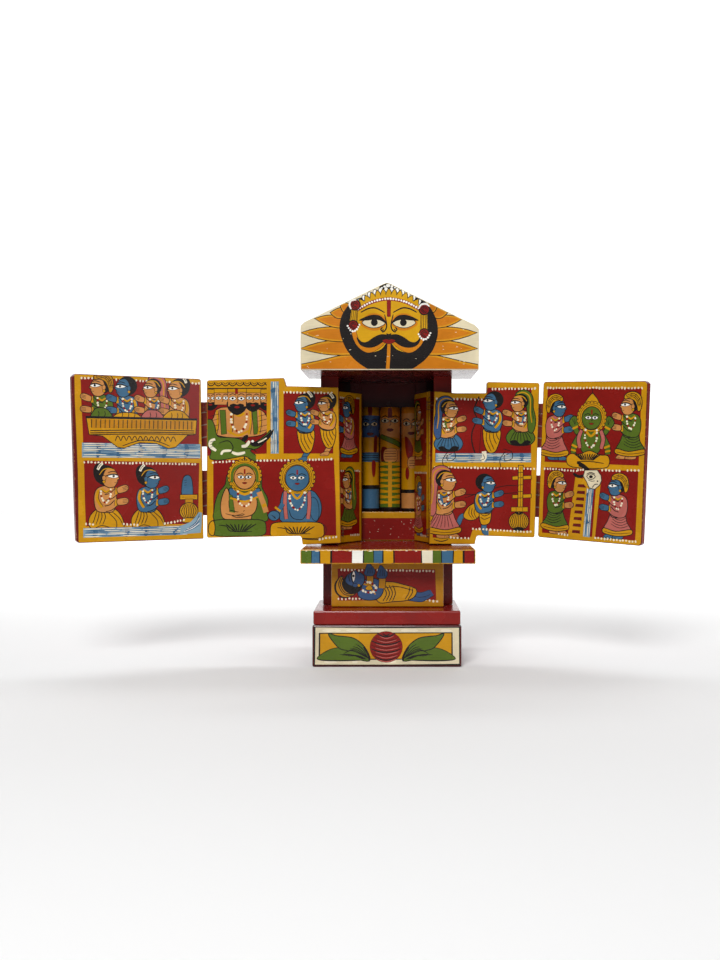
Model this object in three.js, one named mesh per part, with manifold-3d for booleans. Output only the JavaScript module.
// Folding shrine box of painted wood: a stepped foot with a drawer, a shelf, a small cabinet with
// three standing idols behind two inner doors, a gabled top, and two wings of two leaves each.
// Millimetres, +Z up, +X to the right as one faces the shrine, -Y to the front.
import * as THREE from "three";
import Module from "manifold-3d";
import { mergeVertices } from "three/addons/utils/BufferGeometryUtils.js";

// ---- driving dimensions -------------------------------------------------------------------
const FRONT = -40; // Y of the front plane of foot, shelf and gable
const GAP = 0.3; // air between two pieces that touch

const PLINTH_LEFT = -59.7;
const PLINTH_RIGHT = 58.8;
const PLINTH_DEPTH = 76;
const PLINTH_BLOCK_TOP = 33.2;
const PLINTH_TOP = 44.6;
const PLINTH_SLAB_INSET = 0.8;

const STAND_LEFT = -53.7;
const STAND_RIGHT = 54.1;
const STAND_WALL = 8.8;
const STAND_FRONT = 41.5; // depth behind the front plane
const STAND_BACK_BOARD = 6;

const DRAWER_FRONT_LEFT = -45.8;
const DRAWER_FRONT_RIGHT = 45.6;
const DRAWER_FRONT_DEPTH = 23; // as it stands, a little pulled out
const DRAWER_FRONT_THICK = 9;
const TRAY_LENGTH = 27;
const TRAY_HEIGHT = 28;
const TRAY_WALL = 4;

const SHELF_LEFT = -69.3;
const SHELF_RIGHT = 70;
const SHELF_DEPTH = 134;
const SHELF_BOTTOM = 81.8;
const SHELF_TOP = 93.3;

const CABINET_LEFT = -56.7;
const CABINET_RIGHT = 54.3;
const OPENING_LEFT = -41.8;
const OPENING_RIGHT = 39;
const POST_FRONT = 59;
const POST_THICK = 4.5;
const SIDE_WALL = 6.3;
const BACK_FRONT = 129;
const BACK_THICK = 4;
const CEILING = 235.8;
const TOP_BOARD = 6;

const STEP_FRONT = 111.5;
const STEP_TOP = 119.2;
const NICHE_POST_FRONT = 121;
const NICHE_POST_SPANS = [
  [-34.3, -24.3],
  [24.9, 35.1],
];

const IDOL_FRONT = 112.2;
const IDOL_DEPTH = 8.5;
const IDOL_TOP = 213;
const IDOLS = { left: [-15.9, 8.1], centre: [1.9, 9.2], right: [20.7, 8.6] };

const GABLE_DEPTH = 85;
const GABLE_OUTLINE = [
  [-69.2, CEILING],
  [72.7, CEILING],
  [72.7, 268.4],
  [69.5, 271.6],
  [2.8, 304.4],
  [-0.4, 305.5],
  [-3.6, 304.4],
  [-66.3, 273.9],
  [-69.2, 270.8],
];

const DOOR_BOTTOM = 94;
const DOOR_TOP = 224;
const DOOR_THICK = 5;
const DOOR_PLANE = 64.3; // depth of a shut door's painted face
const LEFT_DOOR_PIVOT = [-44.6, DOOR_PLANE];
const LEFT_DOOR_WIDTH = 42.6;
const LEFT_DOOR_OPEN = 59;
const RIGHT_DOOR_PIVOT = [40.5, DOOR_PLANE + DOOR_THICK];
const RIGHT_DOOR_WIDTH = 41.6;
const RIGHT_DOOR_OPEN = 73;

const LEAF_THICK = 8.5;
const OUTER_LEAF_THICK = 6;
const LEFT_PLANE = 44; // depth of the painted face of the left inner leaf
const RIGHT_PLANE = 50;
const AXIS_AHEAD = 0.5; // the hinge wires stand this far in front of the painted face
const LEFT_INNER_AXIS = -37.2;
const LEFT_OUTER_AXIS = -152.5;
const LEFT_OUTER_FOLD = 29.9;
const RIGHT_INNER_AXIS = 33;
const RIGHT_OUTER_AXIS = 126.75;
const RIGHT_OUTER_FOLD = 36.6;

const CLOTH_THICK = 0.8;
const CLOTH_GLUED = 11; // how far a hinge cloth runs onto the inner leaf, from the hinge line
const CLOTH_REACH = 5.5; // and how far past the line

// The wires between the two right leaves stand on a leaning line, like the edges beside them.
const LEAN_FOOT = [124.7, 100]; // [X, Z]
const LEAN_HEAD = [128.8, 230];
const LEAN_DEPTH = 48.5;

// Leaf outlines, [X, Z], drawn with the wing flat. The part next to the cabinet is cut lower at
// the top and left longer at the foot, to pass between the gable and the shelf.
const LEFT_INNER = [
  [-39, 95.6],
  [-41.2, 225.4],
  [-84.4, 226.6],
  [-86.6, 233.4],
  [-149.6, 231.4],
  [-150.8, 230.2],
  [-150.8, 101],
  [-149.8, 99.9],
  [-73.2, 101.4],
  [-71.9, 100.2],
  [-71, 94.2],
];
const LEFT_OUTER = [
  [-153, 99.2],
  [-155.4, 231.2],
  [-156.8, 232.3],
  [-259.6, 232],
  [-262, 229.6],
  [-258.2, 100.8],
  [-256.2, 98.9],
];
const RIGHT_INNER = [
  [34.8, 94.4],
  [73.2, 94.2],
  [74.4, 100],
  [75.4, 101.4],
  [122.2, 99.8],
  [123.4, 101],
  [127.5, 228.6],
  [126.3, 229.7],
  [84.2, 230.5],
  [83.2, 229.4],
  [83, 221.1],
  [57, 221],
  [39.1, 222.8],
];
const RIGHT_OUTER_WIDTH = 93;
const RIGHT_OUTER_HEIGHT = 130.3;
const RIGHT_OUTER_SAG = 2.4; // degrees that this leaf hangs down at its free end
const RIGHT_OUTER_CORNER = [125.3, 100.2];

const WIRE = 0.4; // radius of the hinge wire
const EYE = 1; // radius of an eye, to the middle of its wire
const EYE_WIRE = 0.34;
const STAPLE_HALF = 3.2;
const POST_LEG_DEPTH = 2.2; // how far behind the posts' face the staples' legs enter them
const LEAF_LEG_DEPTH = 2.6; // the same in the left inner leaf's edge, behind the hinge line
const LEAN_LEG_DEPTH = 3.6; // and in the right inner leaf's
const INNER_SHANK_DEPTH = 1.6; // how far behind the hinge line an eye enters the inner leaves
const OUTER_SHANK_DEPTH = 1.4; // and the left outer leaf

// Heights of the hinges, upper and lower.
const LEVELS = ["upper", "lower"];
const LEFT_POST_HINGES = [213, 104];
const RIGHT_POST_HINGES = [211, 103];
const LEFT_LEAF_HINGES = [208.5, 140];
const RIGHT_LEAF_HINGES = [205, 137];

// ---- helpers ------------------------------------------------------------------------------
const wasm = await Module();
wasm.setup();

const part = new THREE.Group();
part.name = "folding_shrine_box";

function add(name, geometry, color) {
  const clean = geometry.index ? geometry.clone() : mergeVertices(geometry);
  const material = new THREE.MeshStandardMaterial({ color, roughness: 0.4 });
  material.name = `${name}_paint`;
  const mesh = new THREE.Mesh(clean, material);
  mesh.name = name;
  part.add(mesh);
  return mesh;
}

function toManifold(geometry) {
  const bare = geometry.clone();
  bare.deleteAttribute("normal");
  bare.deleteAttribute("uv");
  const welded = mergeVertices(bare, 1e-4);
  return new wasm.Manifold(
    new wasm.Mesh({
      numProp: 3,
      vertProperties: new Float32Array(welded.attributes.position.array),
      triVerts: new Uint32Array(welded.index.array),
    }),
  );
}

function fromManifold(solid) {
  const mesh = solid.getMesh();
  const geometry = new THREE.BufferGeometry();
  geometry.setAttribute("position", new THREE.BufferAttribute(new Float32Array(mesh.vertProperties), 3));
  geometry.setIndex(new THREE.BufferAttribute(new Uint32Array(mesh.triVerts), 1));
  geometry.computeVertexNormals();
  return geometry;
}

// A box from its limits: x, depth behind the front plane, z.
function block(x0, x1, d0, d1, z0, z1) {
  const geometry = new THREE.BoxGeometry(x1 - x0, d1 - d0, z1 - z0);
  geometry.translate((x0 + x1) / 2, FRONT + (d0 + d1) / 2, (z0 + z1) / 2);
  return fromManifold(toManifold(geometry));
}

// A board cut to an [X, Z] outline, its face at depth d0 and its back at depth d1.
function board(outline, d0, d1) {
  const shape = new THREE.Shape(outline.map(([x, z]) => new THREE.Vector2(x, z)));
  const geometry = new THREE.ExtrudeGeometry(shape, { depth: d1 - d0, bevelEnabled: false });
  geometry.rotateX(Math.PI / 2);
  geometry.translate(0, FRONT + d1, 0);
  return fromManifold(toManifold(geometry));
}

// Turns a geometry about the upright line through (x, depth).
function turn(geometry, x, depth, degrees) {
  geometry.translate(-x, -(FRONT + depth), 0);
  geometry.rotateZ((degrees * Math.PI) / 180);
  geometry.translate(x, FRONT + depth, 0);
  return geometry;
}

// A round wire along points [x, depth, z], mitred at its corners and closed at both ends. Its first leg is level.
function wire(points, radius, sides = 6) {
  const path = points.map(([x, d, z]) => new THREE.Vector3(x, FRONT + d, z));
  const positions = [];
  const index = [];
  const leg = (i) => path[i + 1].clone().sub(path[i]).normalize();
  let along = leg(0);
  const normal = new THREE.Vector3(0, 0, 1).cross(along).normalize();
  path.forEach((point, i) => {
    const next = i < path.length - 1 ? leg(i) : along;
    const miter = along.clone().add(next).normalize();
    const across = new THREE.Vector3().crossVectors(along, normal);
    for (let k = 0; k < sides; k += 1) {
      const angle = (2 * Math.PI * k) / sides;
      const offset = normal.clone().multiplyScalar(radius * Math.cos(angle));
      offset.addScaledVector(across, radius * Math.sin(angle));
      offset.addScaledVector(along, -offset.dot(miter) / along.dot(miter));
      positions.push(...offset.add(point).toArray());
    }
    normal.applyQuaternion(new THREE.Quaternion().setFromUnitVectors(along, next));
    along = next;
  });
  for (let i = 0; i < path.length - 1; i += 1) {
    for (let k = 0; k < sides; k += 1) {
      const a = i * sides + k;
      const b = i * sides + ((k + 1) % sides);
      index.push(a, a + sides, b, b, a + sides, b + sides);
    }
  }
  const last = (path.length - 1) * sides;
  for (let k = 1; k < sides - 1; k += 1) {
    index.push(0, k, k + 1, last, last + k + 1, last + k);
  }
  const geometry = new THREE.BufferGeometry();
  geometry.setAttribute("position", new THREE.Float32BufferAttribute(positions, 3));
  geometry.setIndex(index);
  geometry.computeVertexNormals();
  return geometry;
}

// The same wire with its faces turned outward whichever way the path bends.
function solidWire(points, radius, sides) {
  const geometry = wire(points, radius, sides);
  const p = geometry.attributes.position;
  const ids = geometry.index.array;
  const [a, b, c] = [new THREE.Vector3(), new THREE.Vector3(), new THREE.Vector3()];
  let volume = 0;
  for (let i = 0; i < ids.length; i += 3) {
    a.fromBufferAttribute(p, ids[i]);
    b.fromBufferAttribute(p, ids[i + 1]);
    c.fromBufferAttribute(p, ids[i + 2]);
    volume += a.dot(b.cross(c));
  }
  if (volume < 0) {
    const flipped = [];
    for (let i = 0; i < ids.length; i += 3) {
      flipped.push(ids[i], ids[i + 2], ids[i + 1]);
    }
    geometry.setIndex(flipped);
    geometry.computeVertexNormals();
  }
  return geometry;
}

// An upright staple on the hinge line, its two legs running back along the points given in plan.
function staple(x, depth, z, plan) {
  const up = plan.map(([px, pd]) => [px, pd, z + STAPLE_HALF]).reverse();
  const down = plan.map(([px, pd]) => [px, pd, z - STAPLE_HALF]);
  return solidWire([...up, [x, depth, z + STAPLE_HALF], [x, depth, z - STAPLE_HALF], ...down], WIRE);
}

// A level eye round the staple, with a shank that reaches to (shankX, shankDepth).
function eye(x, depth, z, shankX, shankDepth) {
  const ring = toManifold(new THREE.TorusGeometry(EYE, EYE_WIRE, 6, 12)).translate([x, FRONT + depth, z]);
  const way = new THREE.Vector2(shankX - x, shankDepth - depth).setLength(EYE);
  const shank = solidWire([[x + way.x, depth + way.y, z], [shankX, shankDepth, z]], EYE_WIRE);
  return fromManifold(ring.add(toManifold(shank)));
}

// ---- foot ---------------------------------------------------------------------------------
const foot = [PLINTH_LEFT + PLINTH_SLAB_INSET, PLINTH_RIGHT - PLINTH_SLAB_INSET];
add("plinth_block", block(PLINTH_LEFT, PLINTH_RIGHT, 0, PLINTH_DEPTH, 0, PLINTH_BLOCK_TOP), 0xb98d1a);
add("plinth_slab", block(foot[0], foot[1], 0, PLINTH_DEPTH, PLINTH_BLOCK_TOP + GAP, PLINTH_TOP), 0x7d1812);

const standBottom = PLINTH_TOP + GAP;
const standTop = SHELF_BOTTOM - GAP;
const wallL = STAND_LEFT + STAND_WALL;
const wallR = STAND_RIGHT - STAND_WALL;
add("stand_wall_left", block(STAND_LEFT, wallL, STAND_FRONT, PLINTH_DEPTH, standBottom, standTop), 0x4a1414);
add("stand_wall_right", block(wallR, STAND_RIGHT, STAND_FRONT, PLINTH_DEPTH, standBottom, standTop), 0x4a1414);
add(
  "stand_back_board",
  block(wallL + GAP, wallR - GAP, PLINTH_DEPTH - STAND_BACK_BOARD, PLINTH_DEPTH, standBottom, standTop),
  0x4a1414,
);

const drawerBack = DRAWER_FRONT_DEPTH + DRAWER_FRONT_THICK;
add(
  "drawer_front",
  block(DRAWER_FRONT_LEFT, DRAWER_FRONT_RIGHT, DRAWER_FRONT_DEPTH, drawerBack, standBottom + 0.2, standTop - 0.2),
  0x7d1812,
);
const trayLeft = wallL + 1.2;
const trayRight = wallR - 1.2;
const trayBottom = standBottom + 0.3;
const trayTop = trayBottom + TRAY_HEIGHT;
const trayNear = drawerBack + GAP;
const trayFar = trayNear + TRAY_LENGTH;
const trayOuter = toManifold(block(trayLeft, trayRight, trayNear, trayFar, trayBottom, trayTop));
const trayInner = toManifold(
  block(
    trayLeft + TRAY_WALL,
    trayRight - TRAY_WALL,
    trayNear + TRAY_WALL,
    trayFar - TRAY_WALL,
    trayBottom + TRAY_WALL,
    trayTop + 1,
  ),
);
add("drawer_tray", fromManifold(trayOuter.subtract(trayInner)), 0x8a5a34);

// ---- shelf and cabinet --------------------------------------------------------------------
add("shelf", block(SHELF_LEFT, SHELF_RIGHT, 0, SHELF_DEPTH, SHELF_BOTTOM, SHELF_TOP), 0xa8481c);

const low = SHELF_TOP + GAP;
const high = CEILING - GAP;
const postBack = POST_FRONT + POST_THICK;
const wallNear = postBack + GAP;
const wallFar = BACK_FRONT - GAP;
const insideLeft = CABINET_LEFT + SIDE_WALL;
const insideRight = CABINET_RIGHT - SIDE_WALL;
add("post_left", block(CABINET_LEFT, OPENING_LEFT, POST_FRONT, postBack, low, high), 0x5a1513);
add("post_right", block(OPENING_RIGHT, CABINET_RIGHT, POST_FRONT, postBack, low, high), 0x5a1513);
add("side_wall_left", block(CABINET_LEFT, insideLeft, wallNear, wallFar, low, high), 0x5a1513);
add("side_wall_right", block(insideRight, CABINET_RIGHT, wallNear, wallFar, low, high), 0x5a1513);
add("back_board", block(CABINET_LEFT, CABINET_RIGHT, BACK_FRONT, BACK_FRONT + BACK_THICK, low, high), 0x5a1513);
add(
  "top_board",
  block(CABINET_LEFT, CABINET_RIGHT, GABLE_DEPTH + GAP, BACK_FRONT + BACK_THICK, CEILING, CEILING + TOP_BOARD),
  0x5a1513,
);
add("idol_step", block(insideLeft + GAP, insideRight - GAP, STEP_FRONT, wallFar, low, STEP_TOP), 0x7d1812);
["left", "right"].forEach((side, i) => {
  const [x0, x1] = NICHE_POST_SPANS[i];
  add(`niche_post_${side}`, block(x0, x1, NICHE_POST_FRONT, wallFar, STEP_TOP + GAP, high), 0x5a2a1a);
});

// ---- idols: half-round sticks standing on the step -----------------------------------------
function idol(x, radius) {
  const profile = [];
  const steps = 14;
  for (let i = 0; i <= steps; i += 1) {
    const a = Math.PI + (Math.PI * i) / steps;
    profile.push(new THREE.Vector2(radius * Math.cos(a), IDOL_DEPTH * Math.sin(a)));
  }
  const height = IDOL_TOP - STEP_TOP - GAP;
  const stick = new THREE.ExtrudeGeometry(new THREE.Shape(profile), { depth: height, bevelEnabled: false });
  stick.translate(x, FRONT + IDOL_FRONT + IDOL_DEPTH, STEP_TOP + GAP);
  return fromManifold(toManifold(stick));
}
Object.entries(IDOLS).forEach(([side, [x, radius]]) => add(`idol_${side}`, idol(x, radius), 0xb98d1a));

// ---- gable --------------------------------------------------------------------------------
add("gable", board(GABLE_OUTLINE, 0, GABLE_DEPTH), 0xb5651a);

// ---- inner doors --------------------------------------------------------------------------
const leftDoor = block(
  LEFT_DOOR_PIVOT[0],
  LEFT_DOOR_PIVOT[0] + LEFT_DOOR_WIDTH,
  DOOR_PLANE,
  DOOR_PLANE + DOOR_THICK,
  DOOR_BOTTOM,
  DOOR_TOP,
);
add("inner_door_left", turn(leftDoor, ...LEFT_DOOR_PIVOT, LEFT_DOOR_OPEN), 0x7d1812);
const rightDoor = block(
  RIGHT_DOOR_PIVOT[0] - RIGHT_DOOR_WIDTH,
  RIGHT_DOOR_PIVOT[0],
  DOOR_PLANE,
  DOOR_PLANE + DOOR_THICK,
  DOOR_BOTTOM,
  DOOR_TOP,
);
add("inner_door_right", turn(rightDoor, ...RIGHT_DOOR_PIVOT, -RIGHT_DOOR_OPEN), 0x7d1812);

// ---- wings --------------------------------------------------------------------------------
const leftLine = LEFT_PLANE - AXIS_AHEAD;
const rightLine = RIGHT_PLANE - AXIS_AHEAD;
add("left_inner_leaf", board(LEFT_INNER, LEFT_PLANE, LEFT_PLANE + LEAF_THICK), 0x7d1812);
add(
  "left_outer_leaf",
  turn(board(LEFT_OUTER, LEFT_PLANE, LEFT_PLANE + OUTER_LEAF_THICK), LEFT_OUTER_AXIS, leftLine, LEFT_OUTER_FOLD),
  0x7d1812,
);
add("right_inner_leaf", board(RIGHT_INNER, RIGHT_PLANE, RIGHT_PLANE + LEAF_THICK), 0x7d1812);
const sag = (-RIGHT_OUTER_SAG * Math.PI) / 180;
const rightOuter = [
  [0, 1.4],
  [1.4, 0],
  [RIGHT_OUTER_WIDTH - 2, 0],
  [RIGHT_OUTER_WIDTH, 2],
  [RIGHT_OUTER_WIDTH, RIGHT_OUTER_HEIGHT - 2],
  [RIGHT_OUTER_WIDTH - 2, RIGHT_OUTER_HEIGHT],
  [1.4, RIGHT_OUTER_HEIGHT],
  [0, RIGHT_OUTER_HEIGHT - 1.4],
].map(([u, v]) => [
  RIGHT_OUTER_CORNER[0] + u * Math.cos(sag) - v * Math.sin(sag),
  RIGHT_OUTER_CORNER[1] + u * Math.sin(sag) + v * Math.cos(sag),
]);
add(
  "right_outer_leaf",
  turn(board(rightOuter, RIGHT_PLANE, RIGHT_PLANE + OUTER_LEAF_THICK), RIGHT_OUTER_AXIS, rightLine, -RIGHT_OUTER_FOLD),
  0x7d1812,
);

// ---- hinge cloths: painted strips over the joints of the leaves, on the inner leaves' backs --
const CLOTH_RED = 0x6b1e12;
const LEFT_CLOTHS = { upper: [176.2, 213.6], lower: [118.4, 156] }; // [foot, head]
const RIGHT_CLOTHS = { upper: [175.4, 212.8], lower: [116.6, 152] };
LEVELS.forEach((level) => {
  const leftBack = LEFT_PLANE + LEAF_THICK + GAP;
  const rightBack = RIGHT_PLANE + LEAF_THICK + GAP;
  const [leftIn, leftOut] = [LEFT_OUTER_AXIS + CLOTH_GLUED, LEFT_OUTER_AXIS - CLOTH_REACH];
  const [rightIn, rightOut] = [RIGHT_OUTER_AXIS - CLOTH_GLUED, RIGHT_OUTER_AXIS + CLOTH_REACH];
  add(
    `left_hinge_cloth_${level}`,
    block(leftOut, leftIn, leftBack, leftBack + CLOTH_THICK, ...LEFT_CLOTHS[level]),
    CLOTH_RED,
  );
  add(
    `right_hinge_cloth_${level}`,
    block(rightIn, rightOut, rightBack, rightBack + CLOTH_THICK, ...RIGHT_CLOTHS[level]),
    CLOTH_RED,
  );
});

// ---- hinge wires: a staple on one piece, an eye on the other -------------------------------
const RUST = 0x4a3527;
const edgeAt = (z, [x0, z0], [x1, z1]) => x0 + ((x1 - x0) * (z - z0)) / (z1 - z0);
LEVELS.forEach((level, i) => {
  const z = LEFT_POST_HINGES[i];
  const legs = LEFT_INNER_AXIS - 0.5;
  const legDepth = POST_FRONT + POST_LEG_DEPTH;
  add(
    `left_post_staple_${level}`,
    staple(LEFT_INNER_AXIS, leftLine, z, [[legs, legDepth], [OPENING_LEFT + GAP, legDepth]]),
    RUST,
  );
  const edge = edgeAt(z, LEFT_INNER[0], LEFT_INNER[1]);
  const ring = eye(LEFT_INNER_AXIS, leftLine, z, edge + GAP, leftLine + INNER_SHANK_DEPTH);
  add(`left_inner_eye_${level}`, ring, RUST);
});
LEVELS.forEach((level, i) => {
  const z = RIGHT_POST_HINGES[i];
  const legs = RIGHT_INNER_AXIS + 0.3;
  const legDepth = POST_FRONT + POST_LEG_DEPTH;
  add(
    `right_post_staple_${level}`,
    staple(RIGHT_INNER_AXIS, rightLine, z, [[legs, legDepth], [OPENING_RIGHT - GAP, legDepth]]),
    RUST,
  );
  const edge = edgeAt(z, RIGHT_INNER[0], RIGHT_INNER.at(-1));
  const ring = eye(RIGHT_INNER_AXIS, rightLine, z, edge - GAP, rightLine + INNER_SHANK_DEPTH);
  add(`right_inner_eye_${level}`, ring, RUST);
});
LEVELS.forEach((level, i) => {
  const z = LEFT_LEAF_HINGES[i];
  const innerEdge = LEFT_INNER[5][0];
  add(
    `left_leaf_staple_${level}`,
    staple(LEFT_OUTER_AXIS, leftLine, z, [[innerEdge - GAP, leftLine + LEAF_LEG_DEPTH]]),
    RUST,
  );
  const edge = edgeAt(z, LEFT_OUTER[0], LEFT_OUTER[1]);
  const ring = eye(LEFT_OUTER_AXIS, leftLine, z, edge + GAP, leftLine + OUTER_SHANK_DEPTH);
  add(`left_outer_eye_${level}`, turn(ring, LEFT_OUTER_AXIS, leftLine, LEFT_OUTER_FOLD), RUST);
});
LEVELS.forEach((level, i) => {
  const z = RIGHT_LEAF_HINGES[i];
  const axis = edgeAt(z, LEAN_FOOT, LEAN_HEAD);
  const innerEdge = edgeAt(z, RIGHT_INNER[5], RIGHT_INNER[6]);
  const legEnd = [innerEdge + GAP + WIRE, LEAN_DEPTH + LEAN_LEG_DEPTH];
  add(`right_leaf_staple_${level}`, staple(axis, LEAN_DEPTH, z, [legEnd]), RUST);

  // The shank ends at the outer leaf's edge, where the fold has carried it.
  const edge = RIGHT_OUTER_CORNER[0] + (z - RIGHT_OUTER_CORNER[1]) * Math.tan(-sag);
  const across = edge - GAP - EYE_WIRE - RIGHT_OUTER_AXIS;
  const behind = OUTER_LEAF_THICK * 0.35;
  const fold = (RIGHT_OUTER_FOLD * Math.PI) / 180;
  const shankX = RIGHT_OUTER_AXIS + across * Math.cos(fold) + behind * Math.sin(fold);
  const shankDepth = rightLine - across * Math.sin(fold) + behind * Math.cos(fold);
  add(`right_outer_eye_${level}`, eye(axis, LEAN_DEPTH, z, shankX, shankDepth), RUST);
});

export default part;
